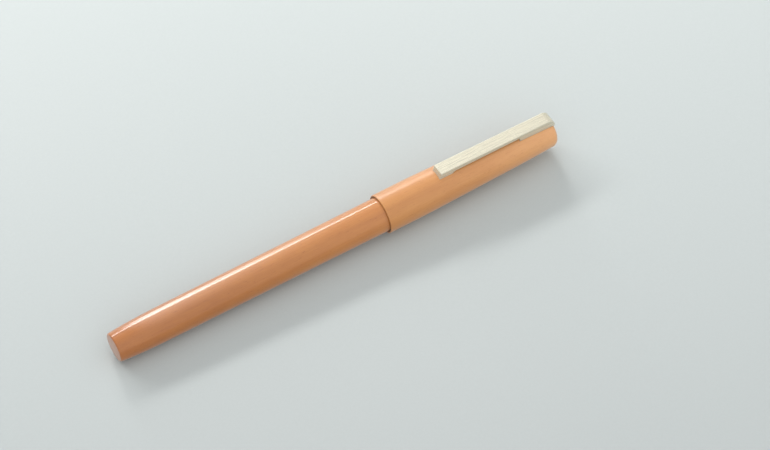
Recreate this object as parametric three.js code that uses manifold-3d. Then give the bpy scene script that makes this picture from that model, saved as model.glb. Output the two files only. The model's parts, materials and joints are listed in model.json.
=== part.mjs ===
import * as THREE from 'three';
import { mergeVertices } from 'three/addons/utils/BufferGeometryUtils.js';
import Module from 'manifold-3d';

// A capped wooden rollerball pen that lies on a table with its clip up.
// Lengths are in millimetres. "Along" is the distance from the barrel's end towards the crown of the
// cap, and radii and heights are measured from the pen's axis.
// The pen is sized from the inside out: the refill sets the sleeves, and these set the wood.

const wasm = await Module();
wasm.setup();
const { Manifold, Mesh: ManifoldMesh } = wasm;

// Fineness of the turned surfaces
const shellSides = 32;
const refillSides = 32;
const smallSides = 24;
const wireSides = 6;
const stepsPerCoil = 12;

// Gaps between pieces
const glueGap = 0.03;
const seatGap = 0.05;
const inlayGap = 0.05;
const slideGap = 0.12;

// Refill
const refillRadius = 3.0;
const refillLength = 110.5;
const refillWall = 0.25;
const refillSpigotLength = 5.0;
const refillCollarLength = 2.2;
const refillConeLength = 5.2;
const refillConeRadius = 2.45;
const refillConeWall = 0.3;
const feedBoreRadius = 0.6;
const plugLength = 1.5;
const plugSpigotLength = 3.2;
const plugChamfer = 0.2;

// Writing point at the refill's front
const pointLength = 4.4;
const pointShankRadius = 0.9;
const pointShankLength = 6.3;
const pointCollarRadius = 1.1;
const pointCollarLength = 0.8;
const pointLipWall = 0.07;
const ballRadius = 0.35;
const ballGap = 0.03;
const ballHold = 0.18;
const inkBoreRadius = 0.2;

// Spring behind the refill
const springLength = 6.8;
const springRadius = 2.3;
const springWire = 0.5;
const springTurns = 5;
const springSeatThickness = 1.5;
const springPostRadius = 1.6;
const springPostLength = 2.1;
const springPostTaper = 0.2;

// Barrel
const barrelEndWall = 9.0;
const barrelEndRadius = 4.17;
const barrelRimFillet = 0.45;
const barrelTaperLength = 17.0;
const barrelTaperFullness = 6.0;
const barrelShoulderRadius = 4.76;
const barrelWall = 0.6;
const barrelFrontChamfer = 0.2;
const barrelInCap = 3.8;
const barrelBoreGap = 0.3;
const barrelTubeWall = 0.5;
const barrelLinerLength = 26.4;
const barrelLinerWall = 0.28;

// Threaded bush that joins the grip to the barrel
const bushBoreGap = 0.25;
const bushWall = 0.75;
const bushSpigotDepth = 0.11;
const bushSpigotLength = 9.5;
const threadLength = 6.5;
const threadGap = 0.07;
const threadRunOut = 0.5;
const sealWidth = 1.0;
const sealGrooveDepth = 0.25;

// Grip
const gripWall = 0.58;
const gripFrontWall = 0.5;
const gripFlangeRise = 0.1;
const gripFlangeLength = 2.0;
const gripLandLength = 3.0;
const gripEdgeChamfer = 0.1;

// Nose cone in front of the grip
const noseReach = 2.6;
const noseLength = 4.6;
const noseBandLength = 0.55;
const noseMouthGap = 0.2;
const noseMouthWall = 0.35;
const noseMouthChamfer = 0.15;
const noseSpigotLength = 5.95;
const noseSpigotWall = 0.27;

// Cap
const capLength = 55.4;
const capLipWall = 0.38;
const capNeckWall = 0.34;
const capShoulderWall = 0.5;
const capLipFillet = 0.22;
const crownRadius = 4.58;
const crownFillet = 1.8;
const crownWeb = 3.4;

// Metal liner in the mouth of the cap
const capClearance = 0.14;
const capLinerWall = 0.21;
const capLinerSetBack = 0.4;
const capLinerBackLength = 2.8;
const capLinerLeadIn = 0.3;

// Split spring ring that holds the cap on the grip
const snapRingWidth = 1.5;
const snapRingThickness = 0.4;
const snapRingFit = 0.05;
const snapRingSplit = 1.6;
const snapRingInset = 1.0;

// Inner cap that seals the writing point
const innerCapWall = 0.42;
const innerCapClearance = 0.17;
const innerCapOverlap = 7.6;
const innerCapShoulderLength = 3.5;
const innerCapFloor = 0.8;
const innerCapTipBore = 2.0;
const innerCapTipWall = 1.27;
const innerCapTipGap = 1.2;
const innerCapSealGap = 0.3;

// Clip, inlaid in the crown and held by a screw from inside the cap
const clipLength = 37.7;
const clipWidth = 3.8;
const clipEdgeBevel = 0.2;
const clipFreeHeight = 7.3;
const clipFreeLean = 0.6;
const clipCrownHeight = 6.75;
const clipUnderside = 5.68;
const clipEndRounding = 2.55;
const clipFootLength = 4.2;
const clipFootRamp = 0.9;
const clipFootDepth = 0.6;
const clipRootLength = 11.5;
const clipRootDepth = 0.6;
const clipRootFillet = 0.3;
const clipLegThickness = 3.6;
const clipLegWidth = 2.4;
const clipLegDrop = 1.8;
const screwRadius = 0.8;
const screwHeadRadius = 1.5;
const screwHeadHeight = 1.1;
const screwEngagement = 2.4;
const screwSlotWidth = 0.4;
const screwSlotDepth = 0.5;

// Places along the pen, from the barrel's end to the crown
const springStart = barrelEndWall + springSeatThickness;
const refillStart = springStart + springLength;
const ballEnd = refillStart + refillLength;
const pointStart = ballEnd - pointLength;
const refillShoulder = pointStart - refillConeLength;
const refillCollar = refillShoulder - refillCollarLength;
const noseEnd = ballEnd - noseReach;
const noseStart = noseEnd - noseLength;
const innerCapFloorStart = ballEnd + innerCapTipGap;
const innerCapEnd = innerCapFloorStart + innerCapFloor;
const capBoreEnd = innerCapEnd + seatGap + screwHeadHeight + seatGap;
const legStart = capBoreEnd + crownWeb;
const penLength = legStart + clipLegThickness;
const capMouth = penLength - capLength;
const barrelFront = capMouth + barrelInCap;
const barrelTubeEnd = barrelFront - barrelLinerLength;
const sectionStart = barrelFront + sealWidth;
const snapRingStart = sectionStart + gripFlangeLength + snapRingInset;
const snapRingEnd = snapRingStart + snapRingWidth;
const capLinerEnd = snapRingEnd + capLinerBackLength;
const innerCapStart = noseStart - innerCapOverlap;
const innerCapShoulder = noseStart + innerCapShoulderLength;
const rootStart = penLength - clipRootLength;
const clipStart = penLength - clipLength;

// Radii of the refill and the barrel
const refillBore = refillRadius - refillWall;
const refillSpigot = refillBore - glueGap;
const refillMouth = pointShankRadius + refillConeWall;
const barrelBore = refillRadius + barrelBoreGap;
const barrelTubeRadius = barrelBore + barrelTubeWall;
const barrelTubeSeat = barrelTubeRadius + glueGap;
const bushBore = refillRadius + bushBoreGap;
const threadRadius = bushBore + bushWall;
const bushSpigot = threadRadius - bushSpigotDepth;
const sealSeat = threadRadius - sealGrooveDepth;
const barrelLinerBore = threadRadius + threadGap;
const barrelLinerRadius = barrelLinerBore + barrelLinerWall;
const barrelSeat = barrelLinerRadius + glueGap;
const barrelFrontRadius = barrelSeat + barrelWall;

// Radii of the grip and the nose
const gripSeat = bushSpigot + glueGap;
const gripRadius = gripSeat + gripWall;
const gripFlange = gripRadius + gripFlangeRise;
const noseBore = refillRadius + slideGap;
const noseSpigot = noseBore + noseSpigotWall;
const noseSeat = noseSpigot + glueGap;
const gripFrontRadius = noseSeat + gripFrontWall;
const noseMouth = pointCollarRadius + noseMouthGap;
const noseMouthRadius = noseMouth + noseMouthWall;

// Radii of the cap
const snapRingBore = gripRadius + snapRingFit;
const snapRingRadius = snapRingBore + snapRingThickness;
const snapGroove = snapRingRadius + seatGap;
const capLinerBore = barrelFrontRadius + capClearance;
const capLinerNeck = gripFlange + slideGap;
const capLinerRadius = capLinerBore + capLinerWall;
const capSeat = capLinerRadius + glueGap;
const mouthRadius = capSeat + capLipWall;
const capNeckRadius = capSeat + capNeckWall;
const innerCapBore = gripFrontRadius + innerCapClearance;
const innerCapRadius = innerCapBore + innerCapWall;
const innerCapSeat = innerCapRadius + glueGap;
const capShoulderRadius = innerCapSeat + capShoulderWall;
const innerCapTip = innerCapTipBore + innerCapTipWall;
const innerCapTipSeat = innerCapTip + glueGap;
const rootFloor = innerCapTipSeat + clipRootDepth;
const screwHole = screwRadius + seatGap;

// Materials
function surface(color, roughness, metalness) {
  return new THREE.MeshStandardMaterial({ color, roughness, metalness });
}

const barrelWood = surface(0xb87a52, 0.25, 0);
const capWood = surface(0xd29f72, 0.25, 0);
const clipMetal = surface(0xe7e2cd, 0.35, 0.7);
const brass = surface(0xc9a45c, 0.35, 0.9);
const noseMetal = surface(0xd8d2c0, 0.3, 0.8);
const steel = surface(0xb9bcc0, 0.3, 0.95);
const darkRubber = surface(0x1d1d1f, 0.8, 0);
const blackPlastic = surface(0x232326, 0.55, 0);
const whitePlastic = surface(0xe9e6de, 0.4, 0);

// A profile point: how far along the pen, and how far from its axis
function at(along, radius) {
  return new THREE.Vector2(radius, along);
}

// Part of a circle as profile points, with 0 degrees along the pen and 90 degrees away from its axis
function arc(along, radius, bend, fromDegrees, toDegrees, steps) {
  const points = [];
  for (let i = 0; i <= steps; i += 1) {
    const angle = THREE.MathUtils.degToRad(fromDegrees + ((toDegrees - fromDegrees) * i) / steps);
    points.push(at(along + bend * Math.cos(angle), radius + bend * Math.sin(angle)));
  }
  return points;
}

// Turns a profile round the pen's axis, with flats that touch the true circle and one of them below.
// The profile starts and ends on the axis, or it is a ring that closes on itself.
function turned(profile, sides = shellSides) {
  const onAxis = profile[0].x === 0;
  const loop = onAxis ? profile : [...profile, profile[0]];
  const toCorner = 1 / Math.cos(Math.PI / sides);
  const points = loop.map((point) => new THREE.Vector2(point.x * toCorner, point.y));
  if (THREE.ShapeUtils.area(points) < 0) {
    points.reverse();
  }
  const geometry = new THREE.LatheGeometry(points, sides, Math.PI / sides);
  geometry.rotateZ(-Math.PI / 2);
  return geometry;
}

// A block between two corners, each given as along, across and height
function block(low, high) {
  const size = new THREE.Vector3().subVectors(high, low);
  const middle = new THREE.Vector3().addVectors(low, high).multiplyScalar(0.5);
  const geometry = new THREE.BoxGeometry(size.x, size.y, size.z);
  geometry.translate(middle.x, middle.y, middle.z);
  return geometry;
}

// A closed geometry as a solid that can be cut and joined
function solid(geometry) {
  const bare = geometry.clone();
  bare.deleteAttribute('normal');
  bare.deleteAttribute('uv');
  const merged = mergeVertices(bare, 1e-4);
  const corners = merged.index.array;
  const triangles = [];
  for (let i = 0; i < corners.length; i += 3) {
    const [a, b, c] = corners.slice(i, i + 3);
    if (a !== b && b !== c && c !== a) {
      triangles.push(a, b, c);
    }
  }
  const vertProperties = new Float32Array(merged.attributes.position.array);
  const triVerts = new Uint32Array(triangles);
  return new Manifold(new ManifoldMesh({ numProp: 3, vertProperties, triVerts }));
}

function geometryOf(shape) {
  const { vertProperties, triVerts } = shape.getMesh();
  const geometry = new THREE.BufferGeometry();
  geometry.setAttribute('position', new THREE.BufferAttribute(vertProperties, 3));
  geometry.setIndex(new THREE.BufferAttribute(triVerts, 1));
  geometry.computeVertexNormals();
  return geometry;
}

// Barrel: a slim turned body with a solid end, bored in two steps from the front for its brass tube
// and its liner
function barrelShell() {
  const taper = new THREE.QuadraticBezierCurve(
    at(barrelRimFillet, barrelEndRadius),
    at(barrelTaperFullness, barrelShoulderRadius),
    at(barrelTaperLength, barrelShoulderRadius),
  );
  return turned([
    at(0, 0),
    ...arc(barrelRimFillet, barrelEndRadius - barrelRimFillet, barrelRimFillet, 180, 90, 4),
    ...taper.getPoints(8).slice(1),
    at(barrelFront - barrelFrontChamfer, barrelFrontRadius),
    at(barrelFront, barrelFrontRadius - barrelFrontChamfer),
    at(barrelFront, barrelSeat),
    at(barrelTubeEnd, barrelSeat),
    at(barrelTubeEnd, barrelTubeSeat),
    at(barrelEndWall, barrelTubeSeat),
    at(barrelEndWall, 0),
  ]);
}

// Brass tube that lines the bore behind the liner, since the wood round the refill is thin
function barrelTube() {
  return turned([
    at(barrelEndWall + glueGap, barrelBore),
    at(barrelEndWall + glueGap, barrelTubeRadius),
    at(barrelTubeEnd, barrelTubeRadius),
    at(barrelTubeEnd, barrelBore),
  ]);
}

// Brass liner with the thread for the grip's bush
function barrelLiner() {
  const back = barrelTubeEnd + glueGap;
  const threadBack = barrelFront - threadLength - threadRunOut;
  const front = barrelFront - seatGap;
  return turned([
    at(back, barrelBore),
    at(back, barrelLinerRadius),
    at(front, barrelLinerRadius),
    at(front, barrelLinerBore),
    at(threadBack, barrelLinerBore),
    at(threadBack, barrelBore),
  ]);
}

function springSeat() {
  const back = barrelEndWall + glueGap;
  const rim = barrelBore - seatGap;
  const postEnd = springStart + springPostLength;
  return turned([
    at(back, 0),
    at(back, rim),
    at(springStart, rim),
    at(springStart, springPostRadius),
    at(postEnd, springPostRadius - springPostTaper),
    at(postEnd, 0),
  ], refillSides);
}

// A helix round the pen's axis
class Coil extends THREE.Curve {
  constructor(start, end, radius, turns) {
    super();
    Object.assign(this, { start, end, radius, turns });
  }

  getPoint(t, target = new THREE.Vector3()) {
    const angle = 2 * Math.PI * this.turns * t;
    const along = THREE.MathUtils.lerp(this.start, this.end, t);
    return target.set(along, this.radius * Math.sin(angle), this.radius * Math.cos(angle));
  }
}

function refillSpring() {
  const wire = springWire / 2;
  const inset = wire + seatGap;
  const section = new THREE.Shape();
  section.absarc(0, 0, wire, 0, 2 * Math.PI);
  return new THREE.ExtrudeGeometry(new THREE.Shape(section.getSpacedPoints(wireSides)), {
    steps: springTurns * stepsPerCoil,
    bevelEnabled: false,
    extrudePath: new Coil(springStart + inset, refillStart - inset, springRadius, springTurns),
  });
}

// Seal ring between the barrel's front face and the grip
function sectionSeal() {
  const bend = sealWidth / 2 - glueGap;
  const centre = sealSeat + seatGap + bend;
  return turned(arc(barrelFront + sealWidth / 2, centre, bend, 0, 315, 7), refillSides);
}

// Brass bush: its thread sits in the barrel's liner and its spigot is glued in the grip
function threadBush() {
  const threadStart = barrelFront - threadLength;
  const threadEnd = barrelFront - threadRunOut;
  const spigotStart = sectionStart + seatGap;
  const spigotEnd = sectionStart + bushSpigotLength;
  return turned([
    at(threadStart, bushBore),
    at(threadStart, threadRadius),
    at(threadEnd, threadRadius),
    at(threadEnd, sealSeat),
    at(spigotStart, sealSeat),
    at(spigotStart, bushSpigot),
    at(spigotEnd, bushSpigot),
    at(spigotEnd, bushBore),
  ]);
}

// Grip of moulded plastic: a rear flange, a straight land for the snap ring, then a slim waist down
// to the nose
function grip() {
  const flangeEnd = sectionStart + gripFlangeLength;
  const landEnd = flangeEnd + gripLandLength;
  const bushEnd = sectionStart + bushSpigotLength + seatGap;
  const noseSeatStart = noseStart - noseSpigotLength - seatGap;
  const waist = new THREE.QuadraticBezierCurve(
    at(landEnd, gripRadius),
    at((landEnd + noseStart) / 2, gripFrontRadius),
    at(noseStart - gripEdgeChamfer, gripFrontRadius),
  );
  return turned([
    at(sectionStart, gripSeat),
    at(sectionStart, gripFlange - gripEdgeChamfer),
    at(sectionStart + gripEdgeChamfer, gripFlange),
    at(flangeEnd - gripFlangeRise, gripFlange),
    at(flangeEnd, gripRadius),
    ...waist.getPoints(6),
    at(noseStart, gripFrontRadius - gripEdgeChamfer),
    at(noseStart, noseSeat),
    at(noseSeatStart, noseSeat),
    at(noseSeatStart, bushBore),
    at(bushEnd, bushBore),
    at(bushEnd, gripSeat),
  ]);
}

// Nose cone: a spigot in the grip, a stop for the refill's collar, and a cavity round its cone
function noseCone() {
  const face = noseStart + seatGap;
  const stop = refillShoulder + seatGap;
  return turned([
    at(noseStart - noseSpigotLength, noseBore),
    at(noseStart - noseSpigotLength, noseSpigot),
    at(face, noseSpigot),
    at(face, gripFrontRadius),
    at(face + noseBandLength, gripFrontRadius),
    at(noseEnd - noseMouthChamfer, noseMouthRadius),
    at(noseEnd, noseMouthRadius - noseMouthChamfer),
    at(noseEnd, noseMouth),
    at(pointStart, refillMouth + noseMouthGap),
    at(stop, refillConeRadius + noseMouthGap),
    at(stop, noseBore),
  ]);
}

// Refill: a tube of ink, closed by a plug behind and by the plastic nose in front
function refillTube() {
  const back = refillStart + plugLength + glueGap;
  const front = refillCollar - glueGap;
  return turned([
    at(back, refillBore),
    at(back, refillRadius),
    at(front, refillRadius),
    at(front, refillBore),
  ], refillSides);
}

function refillPlug() {
  const shoulder = refillStart + plugLength;
  return turned([
    at(refillStart, 0),
    at(refillStart, refillRadius - plugChamfer),
    at(refillStart + plugChamfer, refillRadius),
    at(shoulder, refillRadius),
    at(shoulder, refillSpigot),
    at(shoulder + plugSpigotLength, refillSpigot),
    at(shoulder + plugSpigotLength, 0),
  ], refillSides);
}

function refillNose() {
  const back = refillCollar - refillSpigotLength;
  const shankSeat = pointShankRadius + glueGap;
  const shankEnd = pointStart - pointShankLength - seatGap;
  return turned([
    at(back, feedBoreRadius),
    at(back, refillSpigot),
    at(refillCollar, refillSpigot),
    at(refillCollar, refillRadius),
    at(refillShoulder, refillRadius),
    at(refillShoulder, refillConeRadius),
    at(pointStart, refillMouth),
    at(pointStart, shankSeat),
    at(shankEnd, shankSeat),
    at(shankEnd, feedBoreRadius),
  ], refillSides);
}

// Writing point: its lip closes in round the ball, and a fine bore brings the ink
function writingPoint() {
  const face = pointStart + glueGap;
  const ballCentre = ballEnd - ballRadius;
  const socket = ballRadius + ballGap;
  const lipDegrees = THREE.MathUtils.radToDeg(Math.acos(ballHold / socket));
  const boreDegrees = 180 - THREE.MathUtils.radToDeg(Math.asin(inkBoreRadius / socket));
  return turned([
    at(pointStart - pointShankLength, inkBoreRadius),
    at(pointStart - pointShankLength, pointShankRadius),
    at(face, pointShankRadius),
    at(face, pointCollarRadius),
    at(face + pointCollarLength, pointCollarRadius),
    at(ballCentre, socket + pointLipWall),
    ...arc(ballCentre, 0, socket, lipDegrees, boreDegrees, 8),
  ], smallSides);
}

function tipBall() {
  const geometry = new THREE.SphereGeometry(ballRadius, 16, 12);
  geometry.translate(ballEnd - ballRadius, 0, 0);
  return geometry;
}

// Outline of the cap's wood, from the crown back to where the liner ends
const capOutline = new THREE.SplineCurve([
  at(penLength - crownFillet, crownRadius),
  at(innerCapShoulder, capShoulderRadius),
  at(capLinerEnd, capNeckRadius),
]);

// The cap's outer radius at a place on that outline, found by halving
function capRadiusAt(along) {
  let [crownSide, mouthSide] = [0, 1];
  for (let i = 0; i < 40; i += 1) {
    const middle = (crownSide + mouthSide) / 2;
    if (capOutline.getPoint(middle).y > along) {
      crownSide = middle;
    } else {
      mouthSide = middle;
    }
  }
  return capOutline.getPoint(mouthSide).x;
}

// Cap: the turned wood, with a slot and a pocket in the crown for the clip
function capShell() {
  const legPocket = legStart - inlayGap;
  const wood = solid(turned([
    at(penLength, 0),
    ...arc(penLength - crownFillet, crownRadius - crownFillet, crownFillet, 0, 90, 6),
    ...capOutline.getPoints(12).slice(1),
    ...arc(capMouth + capLipFillet, mouthRadius - capLipFillet, capLipFillet, 90, 180, 3).slice(1),
    at(capMouth, capSeat),
    at(capLinerEnd + seatGap, capSeat),
    at(capLinerEnd + seatGap, innerCapSeat),
    at(innerCapShoulder + seatGap, innerCapSeat),
    at(innerCapShoulder + seatGap, innerCapTipSeat),
    at(capBoreEnd, innerCapTipSeat),
    at(capBoreEnd, screwHole),
    at(legPocket + inlayGap, screwHole),
    at(legPocket + inlayGap, 0),
  ]));
  const past = penLength + 1;
  const slot = block(
    new THREE.Vector3(rootStart - inlayGap, -clipWidth / 2 - inlayGap, rootFloor - inlayGap),
    new THREE.Vector3(past, clipWidth / 2 + inlayGap, clipFreeHeight),
  );
  const pocket = block(
    new THREE.Vector3(legPocket, -clipLegWidth / 2 - inlayGap, -clipLegDrop - inlayGap),
    new THREE.Vector3(past, clipLegWidth / 2 + inlayGap, rootFloor),
  );
  return geometryOf(wood.subtract(solid(slot)).subtract(solid(pocket)));
}

// Liner: wide enough at the mouth for the barrel, then a neck with the snap ring's groove
function capLiner() {
  const front = capMouth + capLinerSetBack;
  const neckStart = sectionStart + capLinerLeadIn;
  return turned([
    at(front, capLinerBore),
    at(front, capLinerRadius),
    at(capLinerEnd, capLinerRadius),
    at(capLinerEnd, capLinerNeck),
    at(snapRingEnd + seatGap, capLinerNeck),
    at(snapRingEnd + seatGap, snapGroove),
    at(snapRingStart - seatGap, snapGroove),
    at(snapRingStart - seatGap, capLinerNeck),
    at(neckStart + capLinerLeadIn, capLinerNeck),
    at(neckStart, capLinerBore),
  ]);
}

function snapRing() {
  const ring = solid(turned([
    at(snapRingStart, snapRingBore),
    at(snapRingStart, snapRingRadius),
    at(snapRingEnd, snapRingRadius),
    at(snapRingEnd, snapRingBore),
  ]));
  const split = block(
    new THREE.Vector3(snapRingStart - 1, -snapRingSplit / 2, -snapRingRadius - 1),
    new THREE.Vector3(snapRingEnd + 1, snapRingSplit / 2, 0),
  );
  return geometryOf(ring.subtract(solid(split)));
}

// Inner cap: a cup round the front of the grip, closing in behind the writing point
function innerCap() {
  const sealStart = noseStart + seatGap + noseBandLength + innerCapSealGap;
  const coneEnd = noseEnd + innerCapSealGap;
  return turned([
    at(innerCapStart, innerCapBore),
    at(innerCapStart, innerCapRadius),
    at(innerCapShoulder, innerCapRadius),
    at(innerCapShoulder, innerCapTip),
    at(innerCapEnd, innerCapTip),
    at(innerCapEnd, 0),
    at(innerCapFloorStart, 0),
    at(innerCapFloorStart, innerCapTipBore),
    at(coneEnd, innerCapTipBore),
    at(sealStart, innerCapBore - innerCapSealGap),
    at(sealStart, innerCapBore),
  ]);
}

// Side view of the clip: along the pen and height over its axis. The foot and the root reach down
// past the finger's flat underside, the free end leans back, and the crown end is well rounded.
function clipOutline() {
  const footEnd = clipStart + clipFootLength;
  const footFloor = clipUnderside - clipFootDepth;
  const rounding = penLength - clipEndRounding;
  const outline = new THREE.Shape();
  outline.moveTo(clipStart, footFloor);
  outline.lineTo(footEnd, footFloor);
  outline.lineTo(footEnd + clipFootRamp, clipUnderside);
  outline.lineTo(rootStart - clipRootFillet, clipUnderside);
  outline.absarc(rootStart - clipRootFillet, clipUnderside - clipRootFillet, clipRootFillet, Math.PI / 2, 0, true);
  outline.lineTo(rootStart, rootFloor);
  outline.lineTo(penLength, rootFloor);
  outline.lineTo(penLength, clipCrownHeight - clipEndRounding);
  outline.absarc(rounding, clipCrownHeight - clipEndRounding, clipEndRounding, 0, Math.PI / 2, false);
  outline.lineTo(clipStart + clipFreeLean, clipFreeHeight);
  return outline;
}

// Clip: a bar with an undercut finger, a saddle on its foot and a leg sunk in the crown
function clip() {
  const bar = new THREE.ExtrudeGeometry(clipOutline(), {
    depth: clipWidth - 2 * clipEdgeBevel,
    bevelEnabled: true,
    bevelThickness: clipEdgeBevel,
    bevelSize: clipEdgeBevel,
    bevelOffset: -clipEdgeBevel,
    bevelSegments: 1,
    curveSegments: 6,
  });
  bar.rotateX(Math.PI / 2);
  bar.translate(0, clipWidth / 2 - clipEdgeBevel, 0);
  const leg = block(
    new THREE.Vector3(legStart, -clipLegWidth / 2, -clipLegDrop),
    new THREE.Vector3(penLength, clipLegWidth / 2, rootFloor + clipEdgeBevel),
  );
  const thread = turned([
    at(legStart - 1, 0),
    at(legStart - 1, screwHole),
    at(legStart + screwEngagement + seatGap, screwHole),
    at(legStart + screwEngagement + seatGap, 0),
  ], smallSides);
  const saddleEnd = clipStart + clipFootLength + clipFootRamp;
  const saddle = turned([
    at(clipStart - 1, 0),
    at(clipStart - 1, capRadiusAt(clipStart) + seatGap),
    at(clipStart, capRadiusAt(clipStart) + seatGap),
    at(saddleEnd, capRadiusAt(saddleEnd) + seatGap),
    at(saddleEnd, 0),
  ]);
  return geometryOf(solid(bar).add(solid(leg)).subtract(solid(thread)).subtract(solid(saddle)));
}

// Screw: its head bears on the web inside the cap, and its shank holds the clip's leg
function clipScrew() {
  const headStart = capBoreEnd - seatGap - screwHeadHeight;
  const headEnd = capBoreEnd - seatGap;
  const body = solid(turned([
    at(headStart, 0),
    at(headStart, screwHeadRadius),
    at(headEnd, screwHeadRadius),
    at(headEnd, screwRadius),
    at(legStart + screwEngagement, screwRadius),
    at(legStart + screwEngagement, 0),
  ], smallSides));
  const slot = block(
    new THREE.Vector3(headStart - 1, -screwHeadRadius - 1, -screwSlotWidth / 2),
    new THREE.Vector3(headStart + screwSlotDepth, screwHeadRadius + 1, screwSlotWidth / 2),
  );
  return geometryOf(body.subtract(solid(slot)));
}

// The pen, with its middle over the origin and its lowest line on the table
const pen = new THREE.Group();
pen.position.set(-penLength / 2, 0, mouthRadius);

function add(name, geometry, material) {
  const mesh = new THREE.Mesh(geometry, material);
  mesh.name = name;
  pen.add(mesh);
}

add('barrel_shell', barrelShell(), barrelWood);
add('barrel_tube', barrelTube(), brass);
add('barrel_liner', barrelLiner(), brass);
add('spring_seat', springSeat(), blackPlastic);
add('refill_spring', refillSpring(), steel);
add('section_seal', sectionSeal(), darkRubber);
add('thread_bush', threadBush(), brass);
add('grip', grip(), blackPlastic);
add('nose_cone', noseCone(), noseMetal);
add('refill_tube', refillTube(), blackPlastic);
add('refill_plug', refillPlug(), whitePlastic);
add('refill_nose', refillNose(), blackPlastic);
add('writing_point', writingPoint(), steel);
add('tip_ball', tipBall(), steel);
add('cap_shell', capShell(), capWood);
add('cap_liner', capLiner(), brass);
add('snap_ring', snapRing(), steel);
add('inner_cap', innerCap(), whitePlastic);
add('clip', clip(), clipMetal);
add('clip_screw', clipScrew(), steel);

export default pen;
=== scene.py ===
import json
from math import ceil, cos, pi, radians, sin, tan

import bmesh
import bpy
from mathutils import Matrix, Vector


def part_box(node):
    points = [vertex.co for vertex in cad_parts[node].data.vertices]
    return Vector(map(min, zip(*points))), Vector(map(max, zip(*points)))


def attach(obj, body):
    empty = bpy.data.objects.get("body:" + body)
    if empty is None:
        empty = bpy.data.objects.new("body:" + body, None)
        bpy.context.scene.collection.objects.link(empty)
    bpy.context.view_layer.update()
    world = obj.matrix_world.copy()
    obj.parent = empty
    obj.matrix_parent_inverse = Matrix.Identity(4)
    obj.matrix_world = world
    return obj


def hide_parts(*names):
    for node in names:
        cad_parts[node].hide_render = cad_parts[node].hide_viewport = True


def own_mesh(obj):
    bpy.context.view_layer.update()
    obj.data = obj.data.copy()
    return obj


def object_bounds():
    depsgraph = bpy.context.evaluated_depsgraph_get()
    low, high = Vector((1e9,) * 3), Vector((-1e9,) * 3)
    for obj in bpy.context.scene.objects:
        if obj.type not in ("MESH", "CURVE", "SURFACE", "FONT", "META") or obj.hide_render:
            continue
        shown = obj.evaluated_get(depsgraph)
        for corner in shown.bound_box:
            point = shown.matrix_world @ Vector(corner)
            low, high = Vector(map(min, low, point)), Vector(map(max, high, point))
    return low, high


# A capped wooden rollerball pen on a pale table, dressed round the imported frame.
# Lengths are in metres. X runs along the pen towards the crown, Z points up through the clip, and
# outlines are pairs of place along the pen and distance from its axis.
MM = 0.001

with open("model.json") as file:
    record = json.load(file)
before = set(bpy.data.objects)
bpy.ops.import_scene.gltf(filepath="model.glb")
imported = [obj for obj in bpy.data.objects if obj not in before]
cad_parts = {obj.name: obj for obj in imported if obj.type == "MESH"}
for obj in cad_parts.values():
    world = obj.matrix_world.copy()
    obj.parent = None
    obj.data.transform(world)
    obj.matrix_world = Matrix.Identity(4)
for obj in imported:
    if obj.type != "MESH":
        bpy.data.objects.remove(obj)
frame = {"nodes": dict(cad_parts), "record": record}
cad_low, cad_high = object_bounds()

# Places on the pen. The tube inside the barrel is round, so its box is centred on the pen's axis.
tube_low, tube_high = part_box("barrel_tube")
AXIS_HEIGHT = (tube_low.z + tube_high.z) / 2
PEN_START = cad_low.x
PEN_END = cad_high.x
CAP_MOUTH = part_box("cap_shell")[0].x

# Fineness of the surfaces. WELD is the least distance that counts, and a corner's rounding takes
# no more than a share of the edges beside it.
SEGMENTS = 144
SMALL_SEGMENTS = 96
ROUND_STEPS = 32
CORNER_TURN = radians(40)
CORNER_STEPS = 3
CORNER_ROUNDING = 0.06 * MM
CORNER_EDGE_SHARE = 0.4
STEP_TURN = radians(4)
STRAIGHT_TURN = radians(0.15)
WELD = 0.0005 * MM
CUTTER_MARGIN = 1 * MM
FLAT_FACE_WEIGHT = 100

# Clip, as in the frame: a bar with an undercut finger, a foot, a root in the crown and a leg.
# Heights are over the pen's axis.
CLIP_WIDTH = 3.8 * MM
CLIP_BEVEL = 0.2 * MM
CLIP_BEVEL_STEPS = 3
CLIP_BEVEL_TURN = radians(50)
CLIP_FREE_HEIGHT = 7.3 * MM
CLIP_FREE_LEAN = 0.6 * MM
CLIP_CROWN_HEIGHT = 6.75 * MM
CLIP_UNDERSIDE = 5.68 * MM
CLIP_END_ROUNDING = 2.55 * MM
CLIP_END_STEPS = 12
CLIP_FOOT_LENGTH = 4.2 * MM
CLIP_FOOT_RAMP = 0.9 * MM
CLIP_FOOT_DEPTH = 0.6 * MM
CLIP_ROOT_LENGTH = 11.5 * MM
CLIP_ROOT_FILLET = 0.3 * MM
CLIP_FILLET_STEPS = 8
CLIP_ROOT_FLOOR = 3.9 * MM
CLIP_LEG_THICKNESS = 3.6 * MM
CLIP_LEG_WIDTH = 2.4 * MM
CLIP_LEG_DROP = 1.8 * MM
INLAY_GAP = 0.05 * MM
SADDLE_GAP = 0.05 * MM
SCREW_HOLE_RADIUS = 0.85 * MM
SCREW_HOLE_DEPTH = 2.45 * MM
CLIP_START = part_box("clip")[0].x
ROOT_START = PEN_END - CLIP_ROOT_LENGTH
LEG_START = PEN_END - CLIP_LEG_THICKNESS

# Snap ring's split
RING_SPLIT = 1.6 * MM

# Thread between the bush and the barrel's liner. A flat is a share of half the pitch.
THREAD_PITCH = 0.75 * MM
THREAD_DEPTH = 0.22 * MM
THREAD_FLAT = 0.1875
THREAD_RUN_OUT = 0.5 * MM
THREAD_LEAST_RUN = 5 * MM
THREAD_ROWS_PER_PITCH = 10
RADIUS_DIGITS = 7
INWARDS = -1
OUTWARDS = 1

# Spring behind the refill
SPRING_WIRE = 0.5 * MM
SPRING_TURNS = 5
SPRING_STEPS = 36
SPRING_SIDES = 12
SPRING_EDGE_TURN = radians(60)


# Outlines

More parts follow.
